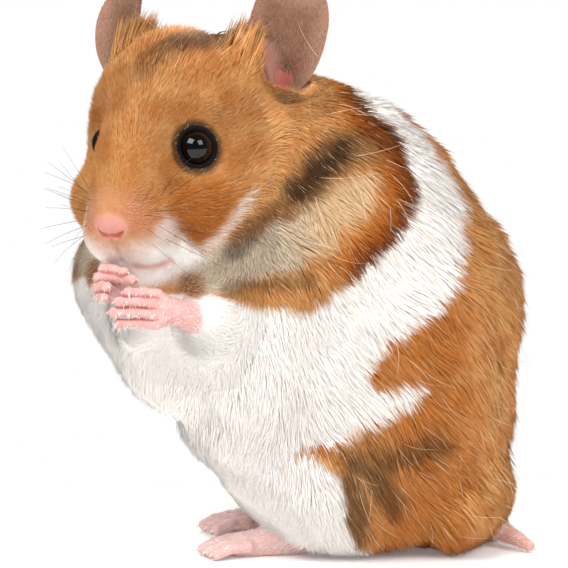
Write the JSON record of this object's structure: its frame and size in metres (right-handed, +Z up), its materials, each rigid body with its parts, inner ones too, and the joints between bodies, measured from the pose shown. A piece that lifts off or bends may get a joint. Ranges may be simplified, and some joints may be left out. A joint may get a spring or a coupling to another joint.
{
  "type": "hamster",
  "caption": "Life-size still model of a golden and white hamster sitting up on its hind feet, head turned to its left, forepaws held together under the chin.",
  "frame": {"origin": "middle of the model's bounding box, on the floor", "axes": "+Z up; the hips and hind feet face -Y; the animal's left is +X"},
  "size_m": [0.0524, 0.0832, 0.1037],
  "materials": {
    "orange_fur": "soft fur",
    "white_fur": "soft fur",
    "pink_skin": "thinly haired skin",
    "ear": "thin skin with short down",
    "eye": "wet and glossy",
    "claw": "translucent horn"
  },
  "bodies": {
    "root": {"head": "orange_fur", "neck": "orange_fur", "trunk": "orange_fur", "tail": "pink_skin", "left_eye": "eye", "left_ear": "ear", "left_arm": "white_fur", "left_forepaw": "pink_skin", "left_haunch": "orange_fur", "left_hind_foot": "pink_skin", "left_fore_claw_1": "claw", "left_fore_claw_2": "claw", "left_fore_claw_3": "claw", "left_fore_claw_4": "claw", "left_hind_claw_1": "claw", "left_hind_claw_2": "claw", "left_hind_claw_3": "claw", "left_hind_claw_4": "claw", "left_hind_claw_5": "claw", "right_eye": "eye", "right_ear": "ear", "right_arm": "white_fur", "right_forepaw": "pink_skin", "right_haunch": "orange_fur", "right_hind_foot": "pink_skin", "right_fore_claw_1": "claw", "right_fore_claw_2": "claw", "right_fore_claw_3": "claw", "right_fore_claw_4": "claw", "right_hind_claw_1": "claw", "right_hind_claw_2": "claw", "right_hind_claw_3": "claw", "right_hind_claw_4": "claw", "right_hind_claw_5": "claw"}
  },
  "joints": []
}
